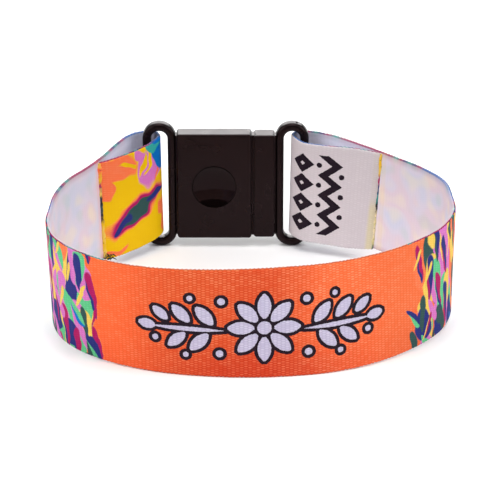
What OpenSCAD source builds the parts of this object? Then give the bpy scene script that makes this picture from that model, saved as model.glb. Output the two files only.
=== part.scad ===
// Festival wristband: a printed webbing loop closed by a small two-part buckle.
// Units are millimetres. X runs along the buckle, the buckle is at +Y and Z is up.
// The origin is on the surface that the band stands on, under the middle of its box.

/* [Webbing] */
// Width of the webbing
strap_w = 20; // [16:0.5:20]
// Thickness of the webbing
strap_t = 1; // [0.8:0.1:1.1]

/* [Buckle body] */
// Height of both bodies
body_h = 21.2; // [20:0.1:22]
// Thickness of both bodies, front to back
body_t = 3.7; // [3.4:0.1:4.6]
// Length of the socket's body
socket_l = 14.2; // [12:0.1:15]
// Length of the plug's shoulder
shoulder_l = 4; // [3.6:0.1:4.2]
// Gap between socket and shoulder
seam = 0.4; // [0.3:0.1:0.6]
// Radius of the corners seen from the front
corner_r = 0.6; // [0.3:0.1:1.2]
// Radius of the long edges
edge_r = 0.5; // [0.2:0.1:0.9]

/* [Thumb recess] */
// Diameter of the round recess
recess_d = 8.5; // [6:0.1:10]
// Depth of the round recess, a shallow bowl
recess_depth = 0.7; // [0.4:0.1:0.9]

/* [Strap rings] */
// Width of a ring, along the buckle
ring_w = 6.3; // [6:0.1:6.6]
// Height of a ring
ring_h = 25.1; // [24.8:0.1:26]
// Thickness of a ring, front to back
ring_t = 2.6; // [2.2:0.1:2.8]
// Width of a ring's bar
ring_bar = 1.6; // [1.4:0.1:1.7]
// Radius of a bar's edges
bar_r = 0.6; // [0.3:0.1:0.65]
// Groove between a ring and its body
groove = 0.1; // [0.05:0.05:0.2]

/* [Hidden] */
$fn = 64;

buckle_y = 27;                      // middle plane of the buckle
buckle_z = ring_h / 2;              // the rings stand on the surface
socket_x = -socket_l;               // the socket's mouth is at x = 0
shoulder_x = seam;
ring_x_left = socket_x - groove - ring_w / 2;
ring_x_right = shoulder_x + shoulder_l + groove + ring_w / 2;

// The tongue fills the socket's slot but for its play
wall_t = 1.15;                      // front and back wall of the socket
wall_side = 1.6;                    // its upper and lower wall
slot_l = 12;
play = 0.3;
slot_h = body_h - 2 * wall_side;
slot_t = body_t - 2 * wall_t;
collar_inset = 0.4;                 // a collar on the shoulder fills the seam behind its edges
collar_gap = 0.1;                   // and stops short of the socket
web_t = 1.8;                        // web across the groove
web_h = body_h - 2;
sunk = 1;                           // how far blocks run into their neighbour, and cuts past a face

// The folds of the webbing round the two outer bars
bar_left = ring_x_left - (ring_w - ring_bar) / 2;
bar_right = ring_x_right + (ring_w - ring_bar) / 2;
fold_out = 2.5;                     // from a bar's middle to the turn of the fold
fold_y = buckle_y + 0.3;
wrap_out = 1.2;                     // from a bar's middle to where the wrap lies flat
wrap_y = buckle_y + ring_t / 2 + 0.35 + strap_t / 2;
fold_lift = (ring_h - strap_w) / 2; // the webbing is centred in its windows

// Route of the webbing's lower edge, seen from above, in the middle of its thickness:
// left folded end, round the front, right folded end.
// lift is the height above the surface, lean is how far the upper edge stands out.
//    x      y    lift  lean
tail_left = [
    [-26.9, 15.4, 1.5, -0.1],
    [-24.3, 18.1, 1.7, 0],
    [-21.1, 21.2, 1.9, 0],
    [-18.2, 24.6, 2.3, -0.1],
];
loop = [
    [-21.4, 28.6, 2.5, 0],
    [-23.4, 26.8, 2.4, 0],
    [-25.0, 23.6, 2.3, 0],
    [-27.3, 17.8, 2.0, 0],
    [-29.8, 12.4, 1.7, 0.3],
    [-32.4, 7.2, 1.5, 0.6],
    [-34.4, 1.4, 1.2, 0.3],
    [-35.2, -4.4, 0.9, 0.1],
    [-34.9, -10.0, 0.7, 0.6],
    [-32.9, -15.6, 0.5, 1.2],
    [-28.6, -20.7, 0.3, 1.5],
    [-22.0, -24.9, 0.1, 1.6],
    [-14.0, -27.7, 0, 1.0],
    [-5.0, -29.1, 0, 0.1],
    [4.5, -29.0, 0, -0.7],
    [13.0, -27.5, 0, -1.1],
    [21.0, -24.2, 0.2, -0.9],
    [27.8, -19.1, 0.4, -0.6],
    [32.8, -13.0, 0.6, -0.2],
    [35.3, -6.0, 0.9, 0],
    [35.3, 0.6, 1.2, 0],
    [34.4, 6.6, 1.5, 0.1],
    [31.2, 12.0, 1.7, 0.1],
    [26.4, 17.0, 2.0, 0],
    [20.4, 22.6, 2.3, 0],
    [15.0, 27.2, 2.5, 0],
    [11.2, 29.1, 2.5, 0],
];
tail_right = [
    [9.4, 23.4, 2.4, -0.3],
    [13.8, 21.5, 2.3, -0.5],
    [17.6, 20.2, 2.2, -1.3],
    [20.6, 19.4, 2.1, -0.8],
    [23.1, 18.3, 2.0, -0.2],
];
fold_lean = -0.4;                   // the turns tip away from the buckle
fold_left = [
    [bar_left + fold_out, fold_y, fold_lift, fold_lean],
    [bar_left + wrap_out, wrap_y, fold_lift, 0],
];
fold_right = [
    [bar_right - wrap_out, wrap_y, fold_lift, 0],
    [bar_right - fold_out, fold_y, fold_lift, fold_lean],
];
route = concat(tail_left, fold_left, loop, fold_right, tail_right);
steps = 5;                          // sections between two rows of the route

// A weld fills the gap between a folded end and the run, close to the end's edge
weld_start = 0.2;                   // from the end's edge
weld_l = 1.2;
weld_bite = 0.3;                    // how far it sinks into both layers
weld_gap = 0.65;                    // the gap that it fills
weld_inset = 0.65;                  // from the webbing's own edges

// A smooth curve through the rows, with knots by the root of their distance
function knot(a, b) = sqrt(norm([b.x - a.x, b.y - a.y]));
function mix(a, b, ta, tb, t) = a * (tb - t) / (tb - ta) + b * (t - ta) / (tb - ta);
function spline(p, t1, t2, t3, t) =
    let (a1 = mix(p[0], p[1], 0, t1, t), a2 = mix(p[1], p[2], t1, t2, t),
         a3 = mix(p[2], p[3], t2, t3, t),
         b1 = mix(a1, a2, 0, t2, t), b2 = mix(a2, a3, t1, t3, t))
    mix(b1, b2, t1, t2, t);
function between(p, f) =
    let (t1 = knot(p[0], p[1]), t2 = t1 + knot(p[1], p[2]), t3 = t2 + knot(p[2], p[3]))
    spline(p, t1, t2, t3, t1 + f * (t2 - t1));
function row(i) = i < 0 ? 2 * route[0] - route[1]
    : i >= len(route) ? 2 * route[i - 1] - route[i - 2] : route[i];
function rows(i) = [row(i - 1), row(i), row(i + 1), row(i + 2)];
smooth = [for (i = [0:len(route) - 2], s = [0:steps - 1]) between(rows(i), s / steps),
          route[len(route) - 1]];

// One section of the webbing: a thin rectangle that stands square to the route, but for its lean
function unit(v) = v / norm(v);
function place(q) = [q[0], q[1], max(q[2], 0)];
function section(i) =
    let (before = smooth[max(i - 1, 0)], after = smooth[min(i + 1, len(smooth) - 1)],
         along = place(after) - place(before),
         out = unit(cross(along, [0, 0, 1])),
         rise = unit(cross(out, along)),
         up = unit(rise * strap_w + out * smooth[i][3]),
         low = place(smooth[i]), high = low + up * strap_w, half = out * strap_t / 2)
    [low - half, low + half, high + half, high - half];

module webbing() {
    rings = [for (i = [0:len(smooth) - 1]) section(i)];
    last = 4 * (len(rings) - 1);
    sides = [for (i = [0:4:last - 1], k = [0:3])
        [i + k, i + (k + 1) % 4, i + 4 + (k + 1) % 4, i + 4 + k]];
    ends = [[3, 2, 1, 0], [last, last + 1, last + 2, last + 3]];
    polyhedron([for (r = rings, p = r) p], concat(sides, ends), convexity = 10);
}

// A flat rectangle with round corners, centred on the origin
module rounded(w, h, r) {
    square([w - 2 * r, h], center = true);
    square([w, h - 2 * r], center = true);
    for (sx = [-1, 1], sy = [-1, 1])
        translate([sx * (w / 2 - r), sy * (h / 2 - r)]) circle(r);
}

// A body lies along X with its left end at x = 0, centred on Y and Z
module body(l) {
    intersection() {
        translate([l / 2, body_t / 2, 0]) rotate([90, 0, 0])
            linear_extrude(body_t) rounded(l, body_h, corner_r);
        rotate([90, 0, 90]) linear_extrude(l) rounded(body_t, body_h, edge_r);
    }
}

// An upright ring of two straight bars and two half-round ends, centred on the origin
module ring() {
    middle = (ring_w - ring_bar) / 2;
    straight = ring_h - ring_w;
    for (turn = [0, 180]) rotate([0, turn, 0]) {
        translate([middle, 0, -straight / 2])
            linear_extrude(straight) rounded(ring_bar, ring_t, bar_r);
        translate([0, 0, straight / 2]) rotate([90, 0, 0])
            rotate_extrude(angle = 180) translate([middle, 0]) rounded(ring_bar, ring_t, bar_r);
    }
}

// The web crosses the groove between a ring and its body
module web(x) {
    l = ring_bar + groove;
    translate([x - l / 2, -web_t / 2, -web_h / 2]) cube([l, web_t, web_h]);
}

// The weld at a folded end: side is 1 where the run is on the left of the way to the next row
module weld(tip, next, side) {
    deep = weld_gap + 2 * weld_bite;
    translate([tip[0], tip[1], tip[2] + weld_inset])
        rotate([0, 0, atan2(next[1] - tip[1], next[0] - tip[0])])
        translate([weld_start, side * (strap_t + weld_gap) / 2 - deep / 2, 0])
        cube([weld_l, deep, strap_w - 2 * weld_inset]);
}

module strap() {
    color("coral") {
        webbing();
        weld(route[0], route[1], 1);
        weld(route[len(route) - 1], route[len(route) - 2], -1);
    }
}

module buckle_socket() {
    bowl_r = (pow(recess_d / 2, 2) + pow(recess_depth, 2)) / (2 * recess_depth);
    color("#241a1c") translate([0, buckle_y, buckle_z]) {
        difference() {
            translate([socket_x, 0, 0]) body(socket_l);
            translate([-slot_l, -slot_t / 2, -slot_h / 2]) cube([slot_l + sunk, slot_t, slot_h]);
            // only a shallow cap of the ball cuts in, so it has finer facets
            translate([socket_x / 2, -body_t / 2 + recess_depth - bowl_r, 0])
                sphere(bowl_r, $fn = 3 * $fn);
        }
        translate([ring_x_left, 0, 0]) ring();
        web(socket_x - groove / 2);
    }
}

module buckle_plug() {
    color("#241a1c") translate([0, buckle_y, buckle_z]) {
        translate([shoulder_x, 0, 0]) body(shoulder_l);
        translate([collar_gap, collar_inset - body_t / 2, collar_inset - body_h / 2])
            cube([seam + sunk - collar_gap, body_t - 2 * collar_inset, body_h - 2 * collar_inset]);
        translate([ring_x_right, 0, 0]) ring();
        web(shoulder_x + shoulder_l + groove / 2);
        translate([play - slot_l, -slot_t / 2 + play, -slot_h / 2 + play])
            cube([slot_l - play + shoulder_x + sunk, slot_t - 2 * play, slot_h - 2 * play]);
    }
}

strap();
buckle_socket();
buckle_plug();
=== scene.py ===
import bisect
import math
import random

import bmesh
import bpy
from mathutils import Matrix, Vector, noise


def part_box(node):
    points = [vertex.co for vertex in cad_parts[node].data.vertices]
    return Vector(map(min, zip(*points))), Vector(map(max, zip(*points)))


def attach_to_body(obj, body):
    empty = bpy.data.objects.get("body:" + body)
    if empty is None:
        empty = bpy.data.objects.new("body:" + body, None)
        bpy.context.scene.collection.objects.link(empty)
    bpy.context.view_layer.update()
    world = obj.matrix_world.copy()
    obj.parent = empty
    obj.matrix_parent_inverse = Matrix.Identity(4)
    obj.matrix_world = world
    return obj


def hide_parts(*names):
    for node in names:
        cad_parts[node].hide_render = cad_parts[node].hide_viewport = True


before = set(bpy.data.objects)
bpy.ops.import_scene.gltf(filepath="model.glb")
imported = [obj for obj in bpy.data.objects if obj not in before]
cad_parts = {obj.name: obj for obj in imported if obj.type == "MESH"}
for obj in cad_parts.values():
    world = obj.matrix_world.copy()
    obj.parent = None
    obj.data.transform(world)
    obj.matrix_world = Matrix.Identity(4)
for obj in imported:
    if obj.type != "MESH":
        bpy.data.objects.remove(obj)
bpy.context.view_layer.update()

mm = 0.001
scene = bpy.context.scene
print("frame loaded:", ", ".join(sorted(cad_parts)))


# camera: a long lens, about 24 degrees above the surface; the clip distances are in metres
shot = {"lens": 153.2, "sensor": 36, "elevation": 23.8, "distance": 408, "lookAt": (-0.3, 23.6, 0.18),
        "clip": (0.01, 20)}


def placeCamera():
    data = bpy.data.cameras.new("camera")
    data.lens = shot["lens"]
    data.sensor_width = shot["sensor"]
    data.clip_start, data.clip_end = shot["clip"]
    camera = bpy.data.objects.new("camera", data)
    tilt = math.radians(shot["elevation"])
    back = Vector((0, -math.cos(tilt), math.sin(tilt)))
    camera.location = (Vector(shot["lookAt"]) + back * shot["distance"]) * mm
    camera.rotation_euler = (math.pi / 2 - tilt, 0, 0)
    scene.collection.objects.link(camera)
    scene.camera = camera


# small helpers for node trees; a socket is linked, a plain value is set on the node
def node(tree, kind, *inputs, **settings):
    made = tree.nodes.new("ShaderNode" + kind)
    for name, value in settings.items():
        setattr(made, name, value)
    for slot, value in zip(made.inputs, inputs):
        if isinstance(value, bpy.types.NodeSocket):
            tree.links.new(value, slot)
        elif value is not None:
            slot.default_value = value
    return made


def calc(tree, operation, *values):
    return node(tree, "Math", *values, operation=operation).outputs[0]


def times(tree, first, second):
    return calc(tree, "MULTIPLY", first, second)


def minus(tree, first, second):
    return calc(tree, "SUBTRACT", first, second)


def apart(tree, first, second):  # how far two numbers lie from each other
    return calc(tree, "ABSOLUTE", minus(tree, first, second))


def vector(tree, operation, *values):
    return node(tree, "VectorMath", *values, operation=operation).outputs[0]


def split(tree, value):
    return node(tree, "SeparateXYZ", value).outputs


def joined(tree, x, y, z=0.0):
    return node(tree, "CombineXYZ", x, y, z).outputs[0]


def cloudy(tree, point, scale, detail=0.0):
    return node(tree, "TexNoise", point, None, scale, detail, noise_dimensions="2D").outputs


def wobbled(tree, point, flat, scale, reach, detail=0.0):  # moves a point by up to half the reach
    shift = cloudy(tree, flat, scale, detail)[1]
    shift = vector(tree, "MULTIPLY_ADD", shift, (*reach, 0), (-reach[0] / 2, -reach[1] / 2, 0))
    return vector(tree, "ADD", point, shift)


def overlay(tree, share, under, over):  # the mix node takes its colours in sockets 6 and 7
    return node(tree, "Mix", share, *[None] * 5, under, over, data_type="RGBA").outputs[2]


def span(tree, value, low, high, newLow=0.0, newHigh=1.0):
    return node(tree, "MapRange", value, low, high, newLow, newHigh,
                interpolation_type="SMOOTHSTEP").outputs[0]


def below(tree, value, limit):
    return calc(tree, "LESS_THAN", value, limit)


def colorSteps(tree, share, names, smooth=False):
    made = node(tree, "ValToRGB", share)
    made.color_ramp.interpolation = "EASE" if smooth else "CONSTANT"
    stops = made.color_ramp.elements
    gap = 1 / max(1, len(names) - 1) if smooth else 1 / len(names)
    for k, name in enumerate(names):
        stop = stops[k] if k < 2 else stops.new(k * gap)
        stop.position, stop.color = k * gap, inks[name]
    return made.outputs[0]


def ink(code):  # inks are written as they look on screen
    parts = [int(code[i:i + 2], 16) / 255 for i in (0, 2, 4)]
    return tuple(p / 12.92 if p <= 0.04045 else ((p + 0.055) / 1.055) ** 2.4 for p in parts) + (1,)


def newMaterial(name, roughness, shine=0.5, **others):
    made = bpy.data.materials.new(name)
    made.use_nodes = True
    shader = made.node_tree.nodes["Principled BSDF"]
    fixed = dict(Roughness=roughness, Specular_IOR_Level=shine, **others)
    for slot, value in fixed.items():
        shader.inputs[slot.replace("_", " ")].default_value = value
    return made, made.node_tree, shader


def addBump(tree, shader, height, strength, depth):
    bump = node(tree, "Bump", strength)
    bump.inputs["Distance"].default_value = depth * mm
    tree.links.new(height, bump.inputs["Height"])
    tree.links.new(bump.outputs[0], shader.inputs["Normal"])


def finishMesh(name, bm, materials):
    mesh = bpy.data.meshes.new(name)
    for face in bm.faces:
        face.smooth = True
    bm.to_mesh(mesh)
    bm.free()
    for material in materials:
        mesh.materials.append(material)
    made = bpy.data.objects.new(name, mesh)
    scene.collection.objects.link(made)
    return made


def attach(piece, slot, *nodes):
    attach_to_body(piece, "root")
    if nodes:
        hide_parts(*nodes)


# studio: a pale floor and softboxes all round
studio = {
    "floorSize": 6.0,
    "floorTint": (0.96, 0.96, 0.96),
    "floorRoughness": 0.9,
    "worldTint": (1.0, 1.0, 1.0),
    "worldStrength": 0.13,
    # azimuth from the camera's side, elevation, distance, side of the square and watts
    "softboxes": [
        ("softboxLeft", -66, 32, 0.7, 0.5, 2.5),
        ("softboxRight", 74, 32, 0.7, 0.5, 2.5),
        ("softboxTop", 0, 76, 0.8, 0.5, 4.0),
        ("softboxBack", 180, 27, 0.9, 0.7, 7.4),
    ],
}


def buildStudio():
    bm = bmesh.new()
    bmesh.ops.create_grid(bm, x_segments=1, y_segments=1, size=studio["floorSize"] / 2)
    floor = finishMesh("floor", bm, [])
    material, _, shader = newMaterial("paleFloor", studio["floorRoughness"])
    shader.inputs["Base Color"].default_value = studio["floorTint"] + (1,)
    floor.data.materials.append(material)
    for name, azimuth, elevation, distance, side, watts in studio["softboxes"]:
        data = bpy.data.lights.new(name, "AREA")
        data.size, data.energy = side, watts
        lamp = bpy.data.objects.new(name, data)
        turn, tilt = math.radians(azimuth), math.radians(elevation)
        away = Vector((math.sin(turn) * math.cos(tilt), -math.cos(turn) * math.cos(tilt), math.sin(tilt)))
        lamp.location = away * distance
        lamp.rotation_euler = away.to_track_quat("Z", "Y").to_euler()
        scene.collection.objects.link(lamp)
    world = bpy.data.worlds.new("paleRoom")
    world.use_nodes = True
    sky = world.node_tree.nodes["Background"]
    sky.inputs[0].default_value = studio["worldTint"] + (1,)
    sky.inputs[1].default_value = studio["worldStrength"]
    scene.world = world
    scene.view_settings.view_transform = "Standard"


# buckle: two moulded halves with a ring each, closed; lengths in millimetres
buckle = {
    "socketLength": 14.2, "shoulderLength": 4.0, "seam": 0.4,
    "height": 21.2, "shoulderHeight": 20.8, "thickness": 3.7, "corner": 0.6, "edge": 0.35,
    "ringWidth": 6.3, "ringHeight": 25.1, "ringThickness": 2.6, "ringBar": 1.6, "ringRound": 0.68,
    "groove": 0.1, "webThickness": 1.8, "webHeight": 20.2,
    "dishRadius": 4.25, "dishDepth": 0.9, "dishCurve": 2.0, "dishSink": 0.04,
    "dishGroove": (0.2, 0.28),  # width and depth of the groove round the bowl
    "slot": (12.0, 1.4, 18.0), "play": 0.3,
    "collarInset": (0.8, 0.4), "collarGap": 0.002,
    "gateMark": (16, 0.22, 0.16),  # on the plug's ring: degrees from its top, radius, height
    "gateTaper": (1.2, 0.8),  # of its radius, at the foot and at the end
    "gateRoot": 0.4,  # how far its foot sinks into the ring
    "gateSides": 12,
    "overlap": 1.0,  # how far joined blocks reach into each other
    "roundSteps": 6, "ringSteps": 32, "bowlSteps": 16, "dishSteps": 96,
    "sharpAngle": 50,
}
socketLow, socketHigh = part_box("buckle_socket")
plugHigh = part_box("buckle_plug")[1]
buckleY = (socketLow.y + socketHigh.y) / 2 / mm
buckleZ = (socketLow.z + socketHigh.z) / 2 / mm

# webbing: one printed strip, folded back round both rings of the buckle; the print uses its flat
# coordinates in millimetres, along the strip from the left end and across it from the lower edge
webbing = {
    "width": 20.0,
    "thickness": 0.7,
    "edgeRound": 0.3,
    "ribPitch": 0.7,  # along the strip
    "rowPitch": 0.44,  # across it
    "ribDepth": 0.005,
    "scallop": 0.08,  # how deep the ribs notch the edges
    "scallopRim": 1.0,  # over the outermost millimetre
    # slow changes by chance: depth, scale along the strip and across it, place in the noise
    "uneven": (1.4, 0.6, 0.1, 9.1),  # how deep the notches are
    "sway": (0.12, 0.09, 0.06, 4.2),  # how far the webbing lies off its route
    "swayClear": (22, 8),  # no sway this close to the ends, and full sway so much further
    "stepsPerRib": 4,
    "stepsAcross": 28,
    "edgeSteps": 3,
    "wrapGap": 0.35,  # between a ring and the webbing that leaves it
    "cadThickness": 1.0,
    "tipPress": 0.81,  # how far a fused end is pressed onto the run
    "tipReach": 5.0,
    "tipThin": 0.5,  # share of the thickness that's left at a fused end
    "tipMelt": 1.4,
    "slant": 0.85,  # how much shorter the right end is at its lower edge
    "gapSlope": 0.32,  # and how much wider the gap to the run grows there
}
barLeft = socketLow.x / mm + buckle["ringBar"] / 2
barRight = plugHigh.x / mm - buckle["ringBar"] / 2
wrapY = buckleY + buckle["ringThickness"] / 2 + webbing["wrapGap"] + webbing["cadThickness"] / 2
foldLift = buckleZ - webbing["width"] / 2

# lower edge of the strip from above: x, y, height above the surface, how far the upper edge leans out
routeRows = [
    (-26.9, 15.4, 1.5, -0.1), (-24.3, 18.1, 1.7, 0), (-21.1, 21.2, 1.9, 0), (-18.2, 24.6, 2.3, -0.1),
    (barLeft + 2.5, buckleY + 0.3, foldLift, -0.4), (barLeft + 1.2, wrapY, foldLift, 0),
    (-21.4, 28.6, 2.5, 0), (-23.4, 26.8, 2.4, 0), (-25.0, 23.6, 2.3, 0), (-27.3, 17.8, 2.0, 0),
    (-29.8, 12.4, 1.7, 0.3), (-32.4, 7.2, 1.5, 0.6), (-34.4, 1.4, 1.2, 0.3), (-35.2, -4.4, 0.9, 0.1),
    (-34.9, -10.0, 0.7, 0.6), (-32.9, -15.6, 0.5, 1.2), (-28.6, -20.7, 0.3, 1.5),
    (-22.0, -24.9, 0.1, 1.6), (-14.0, -27.7, 0, 1.0), (-5.0, -29.1, 0, 0.1), (4.5, -29.0, 0, -0.7),
    (13.0, -27.5, 0, -1.1), (21.0, -24.2, 0.2, -0.9), (27.8, -19.1, 0.4, -0.6), (32.8, -13.0, 0.6, -0.2),
    (35.3, -6.0, 0.9, 0), (35.3, 0.6, 1.2, 0), (34.4, 6.6, 1.5, 0.1), (31.2, 12.0, 1.7, 0.1),
    (26.4, 17.0, 2.0, 0), (20.4, 22.6, 2.3, 0), (15.0, 27.2, 2.5, 0), (11.2, 29.1, 2.5, 0),
    (barRight - 1.2, wrapY, foldLift, 0), (barRight - 2.5, buckleY + 0.3, foldLift, -0.4),
    (9.4, 23.4, 2.4, -0.3), (13.8, 21.5, 2.3, -0.5), (17.6, 20.2, 2.2, -1.3), (20.6, 19.4, 2.1, -0.8),
    (23.1, 18.3, 2.0, -0.2),
]


def smoothRoute(rows, steps=24):  # a curve through the rows, knotted by the root of their distance
    rows = [Vector(row) for row in rows]
    rows = [2 * rows[0] - rows[1]] + rows + [2 * rows[-1] - rows[-2]]
    path = []
    for four in zip(rows, rows[1:], rows[2:], rows[3:]):
        knots = [0.0]
        for a, b in zip(four, four[1:]):
            knots.append(knots[-1] + (b.xy - a.xy).length ** 0.5)
        for step in range(steps):
            at = knots[1] + (knots[2] - knots[1]) * step / steps
            points = list(four)
            for level in (1, 2, 3):  # each level blends neighbours over the knots that they share
                for k in range(4 - level):
                    start, end = (k, k + level) if level < 3 else (1, 2)
                    blend = (at - knots[start]) / (knots[end] - knots[start])
                    points[k] = points[k].lerp(points[k + 1], blend)
            path.append(points[0])
    path.append(rows[-2])
    return path


def stripPlaces(path):
    lows = [Vector((p[0], p[1], max(p[2], 0))) for p in path]
    lengths, places = [0.0], []
    for before, after in zip(lows, lows[1:]):
        lengths.append(lengths[-1] + (after - before).length)
    for i, low in enumerate(lows):
        along = (lows[min(i + 1, len(lows) - 1)] - lows[max(i - 1, 0)]).normalized()
        out = along.cross(Vector((0, 0, 1))).normalized()
        rise = out.cross(along).normalized()
        up = (rise * webbing["width"] + out * path[i][3]).normalized()
        places.append((low, up, out, along))
    return lengths, places


stripLengths, stripFrames = stripPlaces(smoothRoute(routeRows))
stripLength = stripLengths[-1]


def bent(s, v, n):  # from the flat strip to its place, past the ends too
    near = max(0.0, 1 - max(0.0, min(s, stripLength - s)) / webbing["tipReach"])
    slide = webbing["slant"] * (1 - v / webbing["width"]) * near if s > stripLength / 2 else 0.0
    press = near ** 2 * webbing["tipPress"] + slide * webbing["gapSlope"]
    s -= slide
    inside = min(max(s, 0), stripLength)
    k = min(max(bisect.bisect_right(stripLengths, inside), 1), len(stripLengths) - 1)
    share = (inside - stripLengths[k - 1]) / (stripLengths[k] - stripLengths[k - 1])
    low, up, out, along = (a.lerp(b, share) for a, b in zip(stripFrames[k - 1], stripFrames[k]))
    return (low + up * v + out * (n - press) + along * (s - inside)) * mm


def waver(s, v, depth, alongScale, acrossScale, place):
    return depth * noise.noise(Vector((s * alongScale, v * acrossScale, place)))


def buildStrap(printed, plain):
    width, thick = webbing["width"], webbing["thickness"]
    swayFrom, swayOver = webbing["swayClear"]
    ribs = round(stripLength / webbing["ribPitch"])
    bm = bmesh.new()
    bmesh.ops.create_grid(bm, x_segments=ribs * webbing["stepsPerRib"],
                          y_segments=webbing["stepsAcross"], size=0.5)
    bmesh.ops.scale(bm, vec=(stripLength, width, 1), verts=bm.verts)
    bmesh.ops.translate(bm, vec=(stripLength / 2, width / 2, 0), verts=bm.verts)
    bmesh.ops.solidify(bm, geom=bm.faces[:], thickness=thick)
    middle = sum(vert.co.z for vert in bm.verts) / len(bm.verts)
    bmesh.ops.translate(bm, vec=(0, 0, -middle), verts=bm.verts)
    rims = [e for e in bm.edges if all(min(v.co.y, width - v.co.y) < 1e-4 for v in e.verts)
            and abs(e.verts[0].co.z - e.verts[1].co.z) < 1e-4
            and abs(e.verts[0].co.x - e.verts[1].co.x) > 1e-4]
    bmesh.ops.bevel(bm, geom=rims, offset=webbing["edgeRound"], segments=webbing["edgeSteps"],
                    profile=0.5, affect="EDGES", material=-1)
    bmesh.ops.recalc_face_normals(bm, faces=bm.faces)
    flat = bm.loops.layers.uv.new("UVMap")
    for face in bm.faces:
        face.material_index = 1 if face.normal.z < 0.1 else 0
        for corner in face.loops:
            corner[flat].uv = corner.vert.co.xy
    for vert in bm.verts:
        s, v, n = vert.co
        wave = 0.5 + 0.5 * math.cos(2 * math.pi * s * ribs / stripLength)
        fromTip = min(s, stripLength - s)
        melted = max(0.0, 1 - fromTip / webbing["tipMelt"]) ** 2
        n *= 1 - melted * (1 - webbing["tipThin"])
        n -= math.copysign(webbing["ribDepth"] * (1 - wave), n)
        rim = max(0.0, 2 * abs(v - width / 2) - width + webbing["scallopRim"])
        uneven = 1 + waver(s, v, *webbing["uneven"])
        v -= math.copysign(webbing["scallop"] * uneven * (1 - wave) * rim, v - width / 2)
        clear = min(1.0, max(0.0, (fromTip - swayFrom) / swayOver))
        vert.co = bent(s, v, n + clear * waver(s, v, *webbing["sway"]))
    strap = finishMesh("strap_webbing", bm, [printed, plain])
    attach(strap, "webbing", "strap")
    print("webbing:", len(strap.data.polygons), "faces,", round(stripLength, 1), "mm long")
    return strap


# fused ends: each cut edge is melted into a bead on the run behind it
bead = {
    "radius": (0.36, 0.28),  # left and right
    "bulge": (0.5, 0.7),  # how much thicker the upper end is
    "bulgeFrom": 0.72, "bulgeOver": 0.2,
    "wobble": 0.5, "lumps": 1.1, "taper": 60, "steps": 120, "around": 10, "sink": 0.08,
    "drift": (0.9, 2.4),  # how the inks shift along it: scale and reach
    "soot": (2.3, 0.64, 0.7, 0.6),  # scale, where it starts and is full, and its share
    "roughness": 0.35, "shine": 0.4, "fuzz": 3.5, "fuzzDepth": 0.1,
    # inks from the lower end to the upper
    "left": ["forest", "yellow", "golden", "yellow", "yellow", "golden", "plum", "forest", "plum",
             "yellow", "magenta", "golden", "orange", "yellow"],
    "right": ["forest", "straw", "paleYellow", "straw", "paleYellow", "plum", "teal", "navy", "magenta",
              "yellow", "golden", "yellow"],
}


def buildBead(name, tip, thick, bulge, names):
    bm = bmesh.new()
    bmesh.ops.create_grid(bm, x_segments=bead["steps"], y_segments=bead["around"], size=0.5)
    flat = bm.loops.layers.uv.new("UVMap")
    for face in bm.faces:
        for corner in face.loops:
            corner[flat].uv = ((corner.vert.co.x + 0.5) * webbing["width"], corner.vert.co.y * 2)
    for vert in bm.verts:
        share, turn = vert.co.x + 0.5, vert.co.y * 2 * math.pi
        v = webbing["width"] * share
        lump = noise.noise(Vector((v * bead["lumps"], math.cos(turn), math.sin(turn) + tip)))
        taper = min(1.0, bead["taper"] * share * (1 - share)) ** 0.5
        upper = min(1.0, max(0.0, (share - bead["bulgeFrom"]) / bead["bulgeOver"]))
        radius = thick * taper * (1 + bead["wobble"] * lump + bulge * upper)
        vert.co = bent(tip + radius * math.cos(turn), v, radius * math.sin(turn) - bead["sink"])
    bmesh.ops.remove_doubles(bm, verts=bm.verts, dist=1e-7)
    bmesh.ops.recalc_face_normals(bm, faces=bm.faces)
    made = finishMesh(name, bm, [meltedFibre(name + "Melt", names)])
    attach(made, "webbing")
    return made


def meltedFibre(name, names):
    material, tree, shader = newMaterial(name, bead["roughness"], bead["shine"])
    flat = node(tree, "UVMap", uv_map="UVMap").outputs[0]
    scale, reach = bead["drift"]
    drift = cloudy(tree, flat, scale, 2.0)[0]
    up = calc(tree, "MULTIPLY_ADD", drift, reach, minus(tree, split(tree, flat)[0], reach / 2))
    color = colorSteps(tree, calc(tree, "DIVIDE", up, webbing["width"]), names, smooth=True)
    scale, start, full, share = bead["soot"]
    soot = span(tree, cloudy(tree, flat, scale, 3.0)[0], start, full, 0.0, share)
    tree.links.new(overlay(tree, soot, color, inks["plum"]), shader.inputs["Base Color"])
    addBump(tree, shader, cloudy(tree, flat, bead["fuzz"], 3.0)[0], 0.5, bead["fuzzDepth"])
    return material


# a few fibres that came loose at the lower corner of the left fused end
fray = {
    "seed": 11, "count": 18, "radius": 0.14, "sides": 6, "steps": 7, "length": (0.3, 0.9),
    "foot": ((0.1, 1.3), (0.1, 0.9)), "lift": 0.3,  # where they start on the flat strip, and above it
    "way": ((-0.9, 1.0), (-0.6, -0.1), (-0.3, 0.4)),
    "sideways": ((-1, 1), (-1, 0.2), (-1, 1)),
    "spread": 0.8, "curl": 0.35, "turn": 0.7, "thinning": 0.5,
    "inks": ["plum", "forest", "plum", "golden", "plum"], "inkScale": 900.0, "inkFade": (0.35, 0.65),
    "roughness": 0.5, "shine": 0.3,
}


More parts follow.
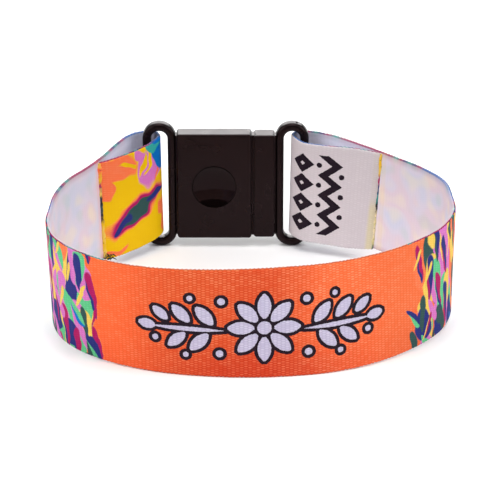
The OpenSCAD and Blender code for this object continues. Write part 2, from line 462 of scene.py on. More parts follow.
def buildFray():
    rng = random.Random(fray["seed"])
    bm = bmesh.new()
    for _ in range(fray["count"]):
        foot = bent(*[rng.uniform(*limits) for limits in fray["foot"]], fray["lift"]) / mm
        way = Vector([rng.uniform(*limits) for limits in fray["way"]]).normalized()
        sideways = Vector([rng.uniform(*limits) for limits in fray["sideways"]]) * fray["spread"]
        length = rng.uniform(*fray["length"])
        rings = []
        for step in range(fray["steps"] + 1):
            share = step / fray["steps"]
            point = foot + way * length * share + sideways * share * share * length * fray["curl"]
            heading = way + sideways * fray["turn"] * share
            thin = fray["radius"] * (1 - fray["thinning"] * share)
            turn = heading.to_track_quat("Z", "Y").to_matrix().to_4x4()
            turn.translation = point
            ends = step in (0, fray["steps"])
            ring = bmesh.ops.create_circle(bm, cap_ends=ends, segments=fray["sides"], radius=thin,
                                           matrix=Matrix.Scale(mm, 4) @ turn)["verts"]
            rings.append({e for v in ring for e in v.link_edges})
        for lower, upper in zip(rings, rings[1:]):
            bmesh.ops.bridge_loops(bm, edges=list(lower | upper))
    bmesh.ops.recalc_face_normals(bm, faces=bm.faces)
    made = finishMesh("loose_threads", bm, [looseFibre()])
    attach(made, "webbing")
    return made


def looseFibre():
    material, tree, shader = newMaterial("looseFibre", fray["roughness"], fray["shine"])
    place = node(tree, "TexCoord").outputs["Object"]
    patch = node(tree, "TexNoise", place, None, fray["inkScale"], 0.0).outputs[0]
    color = colorSteps(tree, span(tree, patch, *fray["inkFade"]), fray["inks"], smooth=True)
    tree.links.new(color, shader.inputs["Base Color"])
    return material


# inks of the print; a few also paint light or shade: the field's deeper oranges are partly painted shade,
# plum darkens the weave's pits as painted shade, and the near-white inner tint by the rings is painted
# light
inks = {
    "orange": ink("fa6430"), "midOrange": ink("e04e20"), "deepOrange": ink("da461d"),
    "warmOrange": ink("fb6835"), "softOrange": ink("ee6a38"), "lowShadeOrange": ink("c2230e"),
    "coral": ink("f67040"), "rust": ink("b04a22"), "golden": ink("e8b800"), "yellow": ink("e9c250"),
    "paleYellow": ink("f3e2b4"), "straw": ink("d8cc8e"), "magenta": ink("a80c58"),
    "pink": ink("cf6cb9"), "navy": ink("232a74"), "azure": ink("0066b8"), "teal": ink("2aa097"),
    "mint": ink("56bd7e"), "forest": ink("2b4c4a"), "plum": ink("1b0f1b"), "lilac": ink("bdb6d2"),
    "white": ink("cbc2c6"), "coolInner": ink("c3cce0"), "paintedLightInner": ink("eeeeff"),
    "lilacInner": ink("d6cedc"), "roseInner": ink("e0c4cd"), "peachInner": ink("ead4c4"),
}

# the plain orange field at the front, along the strip, deeper in the middle than at its ends, partly as
# print and partly as painted shade; fades are two places and the values there
field = {
    "centre": 108.1, "half": 27.3,
    "inks": ["orange", "midOrange", "deepOrange", "warmOrange", "softOrange"],
    "lowShadeFade": (9, 0),  # painted shade: a deeper orange comes in towards the lower edge
    "lowShadeShare": (24, 6, 0.15, 0.6),  # by the distance from the centre
}

# how chance shifts the print: scale of the noise, reach along and across, detail
shifts = {
    "fine": (2.6, (0.16, 0.16), 1.0),
    "loose": (0.4, (0.7, 0.7)),
    "brushed": (0.34, (2.8, 2.2)),
}

# upright patches on both sides of the field, from a few millimetres past its ends
ground = {
    "size": (2.9, 9.5), "from": 4.5,
    "inks": ["pink", "mint", "yellow", "navy", "coral", "pink", "forest", "mint"],
}

# layers of brush dabs over them: each cell of a slanted grid holds one dab of a random ink; the
# wider end of a dab is up if its taper is above zero, and its middle lies in the band across the strip
dabLayers = [
    {"cell": (4.4, 10.6), "half": (2.1, 5.2), "lean": -7, "taper": 0.1, "share": 1.0, "seed": 3.0,
     "band": (-4, 24), "inks": ["pink", "mint", "pink", "yellow", "coral", "mint"]},
    {"cell": (3.9, 9.8), "half": (1.8, 4.8), "lean": 9, "taper": 0.2, "share": 0.8, "seed": 8.0,
     "band": (-4, 24), "inks": ["mint", "pink", "yellow", "pink", "coral", "mint"]},
    {"cell": (4.6, 6.6), "half": (2.1, 3.4), "lean": 14, "taper": -0.3, "share": 0.95, "seed": 23.0,
     "band": (-2, 8), "inks": ["forest", "forest", "navy", "forest"]},
    {"cell": (2.5, 9.6), "half": (0.85, 4.7), "lean": 4, "taper": 0.45, "share": 0.85, "seed": 17.0,
     "band": (-4, 24), "inks": ["navy", "magenta", "navy", "forest", "navy"]},
    {"cell": (4.4, 7.2), "half": (0.85, 3.5), "lean": 30, "taper": -0.25, "share": 0.6, "seed": 29.0,
     "band": (-4, 12), "inks": ["navy", "mint", "azure", "pink", "azure", "navy"]},
    {"cell": (3.9, 6.4), "half": (0.42, 2.9), "lean": -24, "taper": 0.3, "share": 0.4, "seed": 41.0,
     "band": (-4, 24), "inks": ["magenta", "yellow", "navy", "teal", "magenta"]},
]

# what the dabs of every layer share
dab = {
    "stagger": 0.38,  # how far each column of cells is moved up, in cells
    "grow": (0.68, 0.3),  # the least size, and what chance adds
    "swing": 0.3,  # between the ends of a dab's chance turn, in radians
    "powers": (2.0, 3.0),  # of its outline, across and along it
    "edge": (1.14, 0.86),
    "secondShare": 0.55,  # of the dabs have a second ink on one side
    "secondSide": (0.8, -0.2, -0.5),  # slope of its border, and where it starts and is full
}

# the left folded end: blobs along, across, half length, half width, turn and ink over gold
leftEnd = {
    "from": 15.8, "soft": 0.12,
    "blobs": [
        (2.2, 18.0, 6.4, 2.5, -10, "coral"), (1.0, 14.2, 1.7, 2.6, 14, "coral"),
        (5.6, 17.6, 2.6, 0.5, -14, "golden"), (12.2, 15.4, 3.6, 3.3, 30, "pink"),
        (9.6, 18.6, 2.2, 1.0, -24, "pink"), (10.6, 16.6, 2.3, 0.5, 58, "golden"),
        (12.4, 17.2, 2.6, 0.55, 64, "golden"), (13.8, 13.6, 2.0, 0.4, 70, "coral"),
        (14.8, 17.2, 1.2, 3.6, 8, "azure"), (13.2, 19.4, 1.9, 0.7, -20, "teal"),
        (15.2, 4.8, 1.5, 3.4, 4, "coral"), (7.2, 7.6, 8.0, 2.6, 22, "coral"),
        (7.4, 7.7, 7.5, 2.1, 22, "magenta"), (8.2, 7.9, 6.2, 1.25, 20, "forest"),
        (3.4, 5.9, 2.6, 0.8, 30, "navy"), (12.6, 9.4, 2.1, 0.8, 18, "navy"),
        (2.2, 1.2, 2.4, 0.5, 6, "coral"),
    ],
}

# ornament in the middle of the front, mirrored about its centre
ornament = {
    "centre": (108.1, 9.3), "outline": 0.6, "heart": 1.2, "heartGap": 0.5, "petals": 8,
    "petal": (3.9, 2.4, 1.15),  # how far out, half length, half width
    "blunt": 0.15,  # what is cut off a leaf's tip
    # x, y, half length, half width, turn; the first one is the stem
    "leaves": [(12.9, -0.3, 6.3, 0.42, 2), (10.0, 2.2, 2.3, 1.05, 50), (10.9, -2.7, 2.3, 1.05, -46),
               (13.9, 2.5, 2.2, 1.0, 48), (14.7, -2.4, 2.1, 0.95, -42), (17.4, 2.4, 1.8, 0.85, 42),
               (19.8, 0.1, 1.6, 0.9, 8)],
    "dots": [(7.2, 4.9, 0.65), (7.5, -4.8, 0.65), (18.4, -2.3, 0.55), (12.4, 5.4, 0.5),
             (13.2, -5.2, 0.5)],
}

# plain marks on the right folded end, which is white
rightEnd = {
    "from": 202.0, "low": 2.0, "high": 18.0, "pitch": 4.0,
    "column": 206.4, "lozenge": (2.6, 1.9), "eye": 0.22,
    "zigzag": 212.0, "wave": 1.3, "lineHalf": 1.008, "dotOff": 2.1, "dot": 0.52,
    "stain": (1.7, 0.9),  # fades in towards the tip
    "stainShare": (11.0, 8.0, 0.1, 0.6),  # by the height across the strip
}

# the cut edges take up what is printed beside them, mixed towards plum; along the orange field they are a
# darker rust line
cutEdge = {
    "inks": ["azure", "magenta", "navy", "teal", "navy", "magenta", "teal", "magenta"],
    "stretch": (0.05, 0.01, 0), "place": (3.3, 0, 0), "fade": (0.3, 0.7), "dark": 0.35,
    "printed": 0.1, "white": 0.03,  # how far in they reach on the print and on the white end
}


def discShape(tree, point, x, y, radius):
    far = node(tree, "VectorMath", point, (x, y, 0), operation="DISTANCE").outputs[1]
    return minus(tree, far, radius)


def turned(tree, point, x, y, turn, size=(1, 1, 1)):
    return node(tree, "Mapping", point, (x, y, 0), (0, 0, math.radians(turn)), size,
                vector_type="TEXTURE").outputs[0]


def rotated(tree, point, turn):
    return node(tree, "VectorRotate", point, (0, 0, 0), (0, 0, 1), turn,
                rotation_type="AXIS_ANGLE").outputs[0]


def leafShape(tree, point, x, y, half, wide, turn):
    radius = (half * half + wide * wide) / (2 * wide)
    local = vector(tree, "ABSOLUTE", turned(tree, point, x, y, turn))
    tip = minus(tree, split(tree, local)[0], half - ornament["blunt"])
    return calc(tree, "MAXIMUM", discShape(tree, local, 0, wide - radius, radius), tip)


def blobShape(tree, point, x, y, half, wide, turn):
    return discShape(tree, turned(tree, point, x, y, turn, (half, wide, 1)), 0, 0, 1)


def nearest(tree, shapes):
    found = shapes[0]
    for shape in shapes[1:]:
        found = calc(tree, "MINIMUM", found, shape)
    return found


def ornamentShape(tree, point):
    local = vector(tree, "SUBTRACT", point, (*ornament["centre"], 0))
    x, y = split(tree, local)[:2]
    step = 2 * math.pi / ornament["petals"]
    angle = calc(tree, "WRAP", calc(tree, "ARCTAN2", y, x), step / 2, -step / 2)
    angle = calc(tree, "ABSOLUTE", angle)
    radius = node(tree, "VectorMath", local, operation="LENGTH").outputs[1]
    petal = joined(tree, times(tree, radius, calc(tree, "COSINE", angle)),
                   times(tree, radius, calc(tree, "SINE", angle)))
    away, half, wide = ornament["petal"]
    heartClear = minus(tree, ornament["heart"] + ornament["heartGap"], radius)
    shapes = [calc(tree, "MAXIMUM", leafShape(tree, petal, away, 0, half, wide, 0), heartClear),
              minus(tree, radius, ornament["heart"])]
    side = joined(tree, calc(tree, "ABSOLUTE", x), y)
    shapes += [leafShape(tree, side, *leaf) for leaf in ornament["leaves"]]
    shapes += [discShape(tree, side, *dot) for dot in ornament["dots"]]
    return nearest(tree, shapes)


def groundPatches(tree, point, under):
    patches = node(tree, "TexVoronoi", vector(tree, "DIVIDE", point, (*ground["size"], 1)), None, 1.0,
                   voronoi_dimensions="2D").outputs
    place = times(tree, split(tree, patches[2])[0], ground["size"][0])
    away = apart(tree, place, field["centre"])
    share = calc(tree, "GREATER_THAN", away, field["half"] + ground["from"])
    dice = node(tree, "SeparateColor", patches[1]).outputs[0]
    return overlay(tree, share, under, colorSteps(tree, dice, ground["inks"]))


def dabLayer(tree, point, layer, under):
    lean = math.radians(layer["lean"])
    size = (*layer["cell"], 1)
    grid = vector(tree, "DIVIDE", turned(tree, point, 0, 0, layer["lean"]), size)
    column = calc(tree, "FLOOR", split(tree, grid)[0])
    grid = vector(tree, "ADD", grid, joined(tree, 0.0, times(tree, column, dab["stagger"])))
    cell = vector(tree, "ADD", vector(tree, "FLOOR", grid), (layer["seed"], layer["seed"], 0))
    dice = node(tree, "TexWhiteNoise", cell, noise_dimensions="2D").outputs
    color = node(tree, "SeparateColor", dice[1]).outputs
    local = vector(tree, "SUBTRACT", vector(tree, "FRACTION", grid), (0.5, 0.5, 0))
    local = vector(tree, "MULTIPLY", local, size)
    centre = split(tree, vector(tree, "SUBTRACT", point, rotated(tree, local, lean)))
    away = apart(tree, centre[0], field["centre"])
    low, high = layer["band"]
    there = times(tree, calc(tree, "GREATER_THAN", away, field["half"] + layer["half"][0]),
                  calc(tree, "COMPARE", centre[1], (low + high) / 2, (high - low) / 2))
    least, more = dab["grow"]
    grow = calc(tree, "MULTIPLY_ADD", color[1], more, least)
    swing = calc(tree, "MULTIPLY_ADD", color[2], dab["swing"], -dab["swing"] / 2)
    local = vector(tree, "DIVIDE", rotated(tree, local, swing), (*layer["half"], 1))
    x, y = split(tree, vector(tree, "DIVIDE", local, joined(tree, grow, grow, 1.0)))[:2]
    x = calc(tree, "DIVIDE", x, calc(tree, "MULTIPLY_ADD", y, layer["taper"], 1.0))
    powers = [calc(tree, "POWER", calc(tree, "ABSOLUTE", value), power)
              for value, power in zip((x, y), dab["powers"])]
    share = times(tree, span(tree, calc(tree, "ADD", *powers), *dab["edge"]), there)
    share = times(tree, share, below(tree, dice[0], layer["share"]))
    slope, start, full = dab["secondSide"]
    second = times(tree, span(tree, calc(tree, "MULTIPLY_ADD", y, slope, x), start, full),
                   below(tree, dice[0], layer["share"] * dab["secondShare"]))
    after = calc(tree, "FRACT", calc(tree, "ADD", color[0], 1 / len(layer["inks"])))
    paints = [colorSteps(tree, value, layer["inks"]) for value in (color[0], after)]
    return overlay(tree, share, under, overlay(tree, second, *paints))


def markShape(tree, point):
    s, v = split(tree, point)[:2]
    mark, pitch = rightEnd, rightEnd["pitch"]
    up = minus(tree, v, mark["low"])
    row = minus(tree, calc(tree, "WRAP", up, pitch, 0.0), pitch / 2)
    local = joined(tree, minus(tree, s, mark["column"]), row)
    local = vector(tree, "DIVIDE", local, (*mark["lozenge"], 1))
    x, y = split(tree, vector(tree, "ABSOLUTE", local))[:2]
    lozenge = calc(tree, "ADD", x, y)
    lozenge = calc(tree, "MAXIMUM", minus(tree, lozenge, 1.0), minus(tree, mark["eye"], lozenge))
    fold = calc(tree, "PINGPONG", up, pitch / 2)
    bend = calc(tree, "MULTIPLY_ADD", fold, 4 * mark["wave"] / pitch, mark["zigzag"] - mark["wave"])
    line = minus(tree, apart(tree, s, bend), mark["lineHalf"])
    dots = []
    for side in (-1, 1):
        row = minus(tree, v, mark["low"] + pitch * (1 - side) / 4)
        dot = joined(tree, s, calc(tree, "WRAP", row, pitch / 2, -pitch / 2))
        dots.append(discShape(tree, dot, mark["zigzag"] + side * mark["dotOff"], 0, mark["dot"]))
    off = apart(tree, v, (mark["low"] + mark["high"]) / 2)
    band = minus(tree, off, (mark["high"] - mark["low"]) / 2)
    inner = calc(tree, "ADD", band, mark["dot"] * 2)  # no dot is cut by the band's edge
    lines = calc(tree, "MAXIMUM", nearest(tree, [lozenge, line]), band)
    return calc(tree, "MINIMUM", lines, calc(tree, "MAXIMUM", nearest(tree, dots), inner))


# what both sides show of the weave
weaving = {
    "hump": (-0.9, 0.2),  # where a rib's wave starts to rise and is up
    "humpRelief": 0.25,  # ribs in the relief, against the threads
    "fuzz": (7.0, 2.0),  # scale and detail
    "fuzzRelief": 0.5,
    "bump": (0.6, 0.02),  # strength and depth
}


def weave(tree, flat, ribbed):  # raised spots where a thread crosses a rib, painted shade in the pits between threads, chance and relief
    cells = vector(tree, "DIVIDE", flat, (webbing["ribPitch"], webbing["rowPitch"], 1))
    rib = calc(tree, "FLOOR", calc(tree, "ADD", split(tree, cells)[0], 0.5))
    shift = times(tree, calc(tree, "FLOORED_MODULO", rib, 2.0), 0.5)
    cells = vector(tree, "ADD", cells, joined(tree, 0.0, shift))
    waves = split(tree, vector(tree, "COSINE", vector(tree, "SCALE", cells, None, None, 2 * math.pi)))
    hump = span(tree, waves[0], *weaving["hump"])
    thread = calc(tree, "MULTIPLY_ADD", waves[1], 0.5, 0.5)
    pitShade = times(tree, minus(tree, 1.0, hump), minus(tree, 1.0, thread))
    relief = calc(tree, "MULTIPLY_ADD", times(tree, hump, ribbed), weaving["humpRelief"], thread)
    fuzz = cloudy(tree, flat, *weaving["fuzz"])[0]
    relief = calc(tree, "MULTIPLY_ADD", fuzz, weaving["fuzzRelief"], relief)
    spots = times(tree, calc(tree, "MULTIPLY_ADD", hump, 0.5, 0.5), thread)
    spot = vector(tree, "FLOOR", vector(tree, "ADD", cells, (0.5, 0.5, 0)))
    chance = node(tree, "TexWhiteNoise", spot, noise_dimensions="2D").outputs[0]
    return spots, times(tree, pitShade, ribbed), chance, relief


def printDesign(tree, flat):
    crisp = wobbled(tree, flat, flat, *shifts["fine"])
    loose = wobbled(tree, crisp, flat, *shifts["loose"])
    brushed = wobbled(tree, flat, flat, *shifts["brushed"])
    along, across = split(tree, flat)[:2]
    ends = field["centre"] - field["half"], field["centre"] + field["half"]
    place = node(tree, "MapRange", along, *ends).outputs[0]
    # the field's oranges are deeper in the middle, partly print and partly painted shade
    color = colorSteps(tree, place, field["inks"], smooth=True)
    away = apart(tree, along, field["centre"])
    # painted shade towards the lower edge, near the middle of the field
    low = times(tree, span(tree, across, *field["lowShadeFade"]), span(tree, away, *field["lowShadeShare"]))
    color = overlay(tree, low, color, inks["lowShadeOrange"])
    color = groundPatches(tree, loose, color)
    for layer in dabLayers:
        color = dabLayer(tree, loose, layer, color)
    shape = ornamentShape(tree, crisp)
    color = overlay(tree, below(tree, shape, ornament["outline"]), color, inks["plum"])
    color = overlay(tree, below(tree, shape, 0.0), color, inks["lilac"])
    left = inks["golden"]
    for *blob, name in leftEnd["blobs"]:
        shape = blobShape(tree, brushed, *blob)
        left = overlay(tree, span(tree, shape, leftEnd["soft"], -leftEnd["soft"]), left, inks[name])
    color = overlay(tree, below(tree, along, leftEnd["from"]), color, left)
    half = webbing["width"] / 2
    rim = apart(tree, across, half)
    edge = calc(tree, "GREATER_THAN", rim, half - cutEdge["printed"])
    color = overlay(tree, edge, color, edgeHues(tree, flat))
    right = overlay(tree, below(tree, markShape(tree, crisp), 0.0), inks["white"], inks["plum"])
    stain = span(tree, along, *[stripLength - place for place in rightEnd["stain"]])
    stain = times(tree, stain, span(tree, across, *rightEnd["stainShare"]))
    right = overlay(tree, stain, right, inks["straw"])
    white = times(tree, below(tree, rim, half - cutEdge["white"]),
                  calc(tree, "GREATER_THAN", along, rightEnd["from"]))
    return overlay(tree, white, color, right), away


def edgeHues(tree, flat):
    slow = vector(tree, "MULTIPLY_ADD", flat, cutEdge["stretch"], cutEdge["place"])
    steps = span(tree, cloudy(tree, slow, 1.0)[0], *cutEdge["fade"])
    hues = colorSteps(tree, steps, cutEdge["inks"], smooth=True)
    hues = overlay(tree, cutEdge["dark"], hues, inks["plum"])
    away = apart(tree, split(tree, flat)[0], field["centre"])
    # along the orange field the cut edge is a darker rust line
    return overlay(tree, below(tree, away, field["half"]), hues, inks["rust"])


def finishWebbing(tree, shader, color, pitShade, relief):
    # painted shade: the pits between threads are mixed towards plum
    tree.links.new(overlay(tree, pitShade, color, inks["plum"]), shader.inputs["Base Color"])
    addBump(tree, shader, relief, *weaving["bump"])


# the printed side: its raised spots are paler than the ink, partly thinner ink on the thread crowns and
# partly a painted highlight
printedSide = {
    "roughness": 0.68, "shine": 0.12,
    "ribbed": (88, 93, 1.0, 0.2),  # ribs are fainter on the folded ends
    "paleGlintGamma": 0.52,  # the raised spots are this power of the ink
    "paleGlintChance": 0.7,  # how much of it chance may take away
    "paleGlintCentre": (8, 32, 1.0, 0.4),  # the painted highlight is strongest near the field's centre, by the distance from it
    "paleGlintByInk": (0.02, 0.2, 0.2, 1.0),  # by how light the ink is
    "patchScale": 0.3, "paleGlintPatch": (0.35, 0.65, 0.7, 1.0),
    "pitShade": 0.1,
}


def printedWebbing():
    look = printedSide
    material, tree, shader = newMaterial("printedWebbing", look["roughness"], look["shine"])
    flat = node(tree, "UVMap", uv_map="UVMap").outputs[0]
    color, away = printDesign(tree, flat)
    spots, pitShade, chance, relief = weave(tree, flat, span(tree, away, *look["ribbed"]))
    patchy = span(tree, cloudy(tree, flat, look["patchScale"], 2.0)[0], *look["paleGlintPatch"])
    paleGlint = calc(tree, "MULTIPLY_ADD", chance, look["paleGlintChance"], 1 - look["paleGlintChance"])
    paleGlint = times(tree, spots, paleGlint)
    paleGlint = times(tree, paleGlint, times(tree, patchy, span(tree, away, *look["paleGlintCentre"])))
    light = node(tree, "RGBToBW", color).outputs[0]
    paleGlint = times(tree, paleGlint, span(tree, light, *look["paleGlintByInk"]))
    # the raised spots are lightened: partly thinner ink, partly a painted highlight on the thread crowns
    color = overlay(tree, paleGlint, color, node(tree, "Gamma", color, look["paleGlintGamma"]).outputs[0])
    finishWebbing(tree, shader, color, times(tree, pitShade, look["pitShade"]), relief)
    return material


# the plain inner side
plainSide = {
    "roughness": 0.75, "shine": 0.2, "sheen": (0.12, 0.5),
    "inks": ["coolInner", "lilacInner", "roseInner", "peachInner"],
    "cloudScale": 0.15, "cloudFade": (0.2, 0.8), "evenness": 0.5,
    # inks and fades: specks by a noise, tints by the distance from the field's centre
    "speckScale": 0.26, "speckPlace": (40, 0, 0),
    "specks": [("paleYellow", 0.52, 0.85, 0.0, 0.3), ("mint", 0.42, 0.15, 0.0, 0.12)],
    "tints": [("peachInner", field["half"] + 4, field["half"] - 4, 0.0, 0.6),
              # painted light: a near-white tint brightens the inside of the loop near the rings, where it
              # lies in shade
              ("paintedLightInner", 72.5, 77, 0.0, 0.75)],
    # strips along the edges where the print shows through: reach and share
    "rims": [(1.5, 0.3), (0.35, 0.9)], "rimFull": 0.05, "rimFade": (48, 62, 0.2),
    # where the melted ends stain the run: place along the strip, reach, share and ink
    "stains": [(35.7, 0.9, 0.2, "coral"), (180.6, 0.8, 0.12, "yellow")], "stainFull": 0.3,
    "ribbed": 0.5, "pitShade": 0.08,
}


def plainWebbing():
    look = plainSide
    sheen, soft = look["sheen"]
    material, tree, shader = newMaterial("plainWebbing", look["roughness"], look["shine"],
                                         Sheen_Weight=sheen, Sheen_Roughness=soft)
    flat = node(tree, "UVMap", uv_map="UVMap").outputs[0]
    along, across = split(tree, flat)[:2]
    away = apart(tree, along, field["centre"])
    clouds = span(tree, cloudy(tree, flat, look["cloudScale"], 1.0)[0], *look["cloudFade"])
    color = colorSteps(tree, clouds, look["inks"], smooth=True)
    color = overlay(tree, look["evenness"], color, inks["lilacInner"])
    specks = cloudy(tree, vector(tree, "ADD", flat, look["speckPlace"]), look["speckScale"])[0]
    for value, fades in ((specks, look["specks"]), (away, look["tints"])):
        for name, *fade in fades:
            color = overlay(tree, span(tree, value, *fade), color, inks[name])
    half = webbing["width"] / 2
    rim = apart(tree, across, half)
    hues = edgeHues(tree, flat)
    for reach, share in look["rims"]:
        strip = times(tree, span(tree, rim, half - reach, half - look["rimFull"]),
                      span(tree, away, *look["rimFade"], share))
        color = overlay(tree, strip, color, hues)
    for place, reach, share, name in look["stains"]:
        stain = span(tree, apart(tree, along, place), look["stainFull"], reach, share, 0.0)
        color = overlay(tree, stain, color, inks[name])
    _, pitShade, _, relief = weave(tree, flat, look["ribbed"])
    finishWebbing(tree, shader, color, times(tree, pitShade, look["pitShade"]), relief)
    return material


def moulding(name, bm):
    bmesh.ops.recalc_face_normals(bm, faces=bm.faces)
    return finishMesh(name, bm, [])


def rounded(bm, geom, offset, affect="EDGES"):
    bmesh.ops.bevel(bm, geom=geom, offset=offset, segments=buckle["roundSteps"], profile=0.5,
                    affect=affect, material=-1)


def bodyBlock(left, length, height):
    bm = bmesh.new()
    bmesh.ops.create_cube(bm, size=1)
    bmesh.ops.scale(bm, vec=(length, buckle["thickness"], height), verts=bm.verts)
    corners = [e for e in bm.edges if abs(e.verts[0].co.y - e.verts[1].co.y) > 1e-6]
    rounded(bm, corners, buckle["corner"])
    outline = [e for e in bm.edges if abs(e.verts[0].co.y - e.verts[1].co.y) < 1e-6]
    rounded(bm, outline, buckle["edge"])
    bmesh.ops.translate(bm, vec=(left + length / 2, 0, 0), verts=bm.verts)
    return moulding("body", bm)


def ringLoop(middle):
    bm = bmesh.new()
    bmesh.ops.create_grid(bm, x_segments=1, y_segments=1, size=0.5)
    bmesh.ops.scale(bm, vec=(buckle["ringBar"], buckle["ringThickness"], 1), verts=bm.verts)
    rounded(bm, bm.verts[:], buckle["ringRound"], "VERTICES")
    bmesh.ops.delete(bm, geom=bm.faces[:], context="FACES_ONLY")
    reach = (buckle["ringWidth"] - buckle["ringBar"]) / 2
    straight = buckle["ringHeight"] - buckle["ringWidth"]
    bmesh.ops.translate(bm, vec=(reach, 0, -straight / 2), verts=bm.verts)
    loop = bm.edges[:]
    for end in (1, -1):
        grown = bmesh.ops.extrude_edge_only(bm, edges=loop)["geom"]
        verts = [item for item in grown if isinstance(item, bmesh.types.BMVert)]
        bmesh.ops.translate(bm, vec=(0, 0, end * straight), verts=verts)
        loop = [item for item in grown if isinstance(item, bmesh.types.BMEdge)]
        spun = bmesh.ops.spin(bm, geom=loop + verts, cent=(0, 0, end * straight / 2), axis=(0, -1, 0),
                              angle=math.pi, steps=buckle["ringSteps"])["geom_last"]
        loop = [item for item in spun if isinstance(item, bmesh.types.BMEdge)]
    bmesh.ops.remove_doubles(bm, verts=bm.verts, dist=1e-4)
    bmesh.ops.translate(bm, vec=(middle, 0, 0), verts=bm.verts)
    return moulding("ring", bm)


def block(low, size):
    bm = bmesh.new()
    bmesh.ops.create_cube(bm, size=1)
    bmesh.ops.translate(bm, vec=(0.5, 0.5, 0.5), verts=bm.verts)
    bmesh.ops.scale(bm, vec=size, verts=bm.verts)
    bmesh.ops.translate(bm, vec=low, verts=bm.verts)
    return moulding("block", bm)


def dishCutter(x):  # a bowl that is steepest at its rim, inside a fine groove, spun about Y
    radius, depth, front = buckle["dishRadius"], buckle["dishDepth"], -buckle["thickness"] / 2
    width, deep = buckle["dishGroove"]
    above, steps = front - buckle["overlap"], buckle["bowlSteps"]
    bm = bmesh.new()
    profile = [(0, above), (radius, above), (radius, front)]
    profile += [(radius - width * share, front + deep) for share in (0.3, 0.7)]
    radius -= width
    for k in range(steps, -1, -1):
        sunk = depth * (1 - (k / steps) ** buckle["dishCurve"])
        profile.append((radius * k / steps, front + sunk + buckle["dishSink"]))
    verts = [bm.verts.new((r, y, 0)) for r, y in profile]
    edges = [bm.edges.new(pair) for pair in zip(verts, verts[1:])]
    bmesh.ops.spin(bm, geom=verts + edges, cent=(0, 0, 0), axis=(0, 1, 0), angle=2 * math.pi,
                   steps=buckle["dishSteps"], use_merge=True)
    bmesh.ops.remove_doubles(bm, verts=bm.verts, dist=1e-4)
    bmesh.ops.translate(bm, vec=(x, 0, 0), verts=bm.verts)
    return moulding("dish", bm)


def gateStub(x):  # the nub that moulding leaves on a ring
    angle, radius, height = buckle["gateMark"]
    root, (wide, narrow) = buckle["gateRoot"], buckle["gateTaper"]
    turn = math.radians(angle)
    outward = Vector((math.sin(turn), 0, math.cos(turn)))
    arch = Vector((x, 0, (buckle["ringHeight"] - buckle["ringWidth"]) / 2))
    middle = arch + outward * (buckle["ringWidth"] / 2 + (height - root) / 2)
    place = Matrix.Translation(middle) @ Matrix.Rotation(turn, 4, "Y")
    bm = bmesh.new()
    bmesh.ops.create_cone(bm, cap_ends=True, segments=buckle["gateSides"], radius1=radius * wide,
                          radius2=radius * narrow, depth=height + root, matrix=place)
    return moulding("stub", bm)


def combine(piece, other, operation):
    change = piece.modifiers.new("combine", "BOOLEAN")
    change.object, change.operation, change.solver = other, operation, "EXACT"
    graph = bpy.context.evaluated_depsgraph_get()
    made = bpy.data.meshes.new_from_object(piece.evaluated_get(graph))
    piece.modifiers.clear()
    piece.data = made
    bpy.data.objects.remove(other)


def finishMoulding(piece, name, materials):
    piece.data.materials.clear()
    bm = bmesh.new()
    bm.from_mesh(piece.data)
    bmesh.ops.remove_doubles(bm, verts=bm.verts, dist=1e-4)
    dish = Vector((-buckle["socketLength"] / 2, 0))
    for face in bm.faces:
        x, y, z = face.calc_center_median()
        sunk = 0.01 < y + buckle["thickness"] / 2 < buckle["dishDepth"] + 0.1
        inside = (Vector((x, z)) - dish).length < buckle["dishRadius"]
        face.material_index = 1 if sunk and inside and len(materials) > 1 else 0
    place = Matrix.Translation(Vector((0, buckleY, buckleZ)) * mm) @ Matrix.Scale(mm, 4)
    bmesh.ops.transform(bm, matrix=place, verts=bm.verts)
    for face in bm.faces:
        face.smooth = True
    for material in materials:
        piece.data.materials.append(material)
    bm.to_mesh(piece.data)
    bm.free()
    piece.name = piece.data.name = name
    keep = piece.modifiers.new("flats", "WEIGHTED_NORMAL")
    keep.weight, keep.keep_sharp = 100, True
    piece.data.set_sharp_from_angle(angle=math.radians(buckle["sharpAngle"]))
    attach(piece, "buckle_plastic", name.replace("_half", ""))
    return piece


def crossWeb(x):
    size = (buckle["ringBar"] + buckle["groove"], buckle["webThickness"], buckle["webHeight"])
    return block((x - size[0] / 2, -size[1] / 2, -size[2] / 2), size)


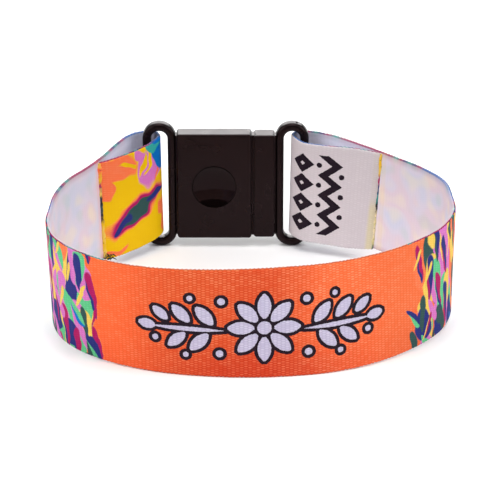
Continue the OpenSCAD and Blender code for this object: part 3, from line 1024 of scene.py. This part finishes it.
def buildBuckle(satin, polished):
    groove, seam, play = buckle["groove"], buckle["seam"], buckle["play"]
    thickness, height = buckle["thickness"], buckle["height"]
    gap, overlap = buckle["collarGap"], buckle["overlap"]
    frontInset, topInset = buckle["collarInset"]
    ringReach = groove + buckle["ringWidth"] / 2
    left, right = -buckle["socketLength"], seam + buckle["shoulderLength"]
    slotLength, slotThickness, slotHeight = buckle["slot"]
    socket = bodyBlock(left, buckle["socketLength"], height)
    combine(socket, block((-slotLength, -slotThickness / 2, -slotHeight / 2),
                          (slotLength + overlap, slotThickness, slotHeight)), "DIFFERENCE")
    combine(socket, dishCutter(left / 2), "DIFFERENCE")
    combine(socket, crossWeb(left - groove / 2), "UNION")
    combine(socket, ringLoop(left - ringReach), "UNION")
    socket = finishMoulding(socket, "buckle_socket_half", [satin, polished])
    plug = bodyBlock(seam, buckle["shoulderLength"], buckle["shoulderHeight"])
    collar = (seam + overlap - gap, thickness - 2 * frontInset, height - 2 * topInset)
    combine(plug, block((gap, -collar[1] / 2, -collar[2] / 2), collar), "UNION")
    combine(plug, crossWeb(right + groove / 2), "UNION")
    combine(plug, ringLoop(right + ringReach), "UNION")
    combine(plug, gateStub(right + ringReach), "UNION")
    tongue = (slotLength - play + seam + overlap, slotThickness - 2 * play, slotHeight - 2 * play)
    combine(plug, block((play - slotLength, -tongue[1] / 2, -tongue[2] / 2), tongue), "UNION")
    plug = finishMoulding(plug, "buckle_plug_half", [satin])
    print("buckle:", len(socket.data.polygons), "and", len(plug.data.polygons), "faces")


# black plastic
plastic = {
    "satin": (0.26, 0.36, 0.21),  # least and most roughness, and shine
    "polished": (0.06, 0.12, 0.17),
    "tints": ((0.0010, 0.0003, 0.0004, 1), (0.0018, 0.0007, 0.0008, 1)),
    "shineTint": (1.0, 0.66, 0.68, 1),
    "cloudScale": 260.0, "cloudFade": (0.3, 0.7),
    "grainScale": 4200.0, "grainBump": (0.15, 0.01),
}


def blackPlastic(name, smooth, rough, shine):
    material, tree, shader = newMaterial(name, rough, shine, Specular_Tint=plastic["shineTint"])
    place = node(tree, "TexCoord").outputs["Object"]
    cloud = node(tree, "TexNoise", place, None, plastic["cloudScale"], 1.0).outputs[0]
    tree.links.new(overlay(tree, cloud, *plastic["tints"]), shader.inputs["Base Color"])
    tree.links.new(span(tree, cloud, *plastic["cloudFade"], smooth, rough), shader.inputs["Roughness"])
    grain = node(tree, "TexNoise", place, None, plastic["grainScale"], 2.0).outputs[0]
    addBump(tree, shader, grain, *plastic["grainBump"])
    return material


placeCamera()
buildStudio()
print("camera and studio placed")
strap = buildStrap(printedWebbing(), plainWebbing())
beads = [buildBead("weld_bead_left", 0.0, bead["radius"][0], bead["bulge"][0], bead["left"]),
         buildBead("weld_bead_right", stripLength, bead["radius"][1], bead["bulge"][1], bead["right"])]
threads = buildFray()
print("fused ends and loose threads made")
buildBuckle(blackPlastic("satinPlastic", *plastic["satin"]),
            blackPlastic("polishedPlastic", *plastic["polished"]))
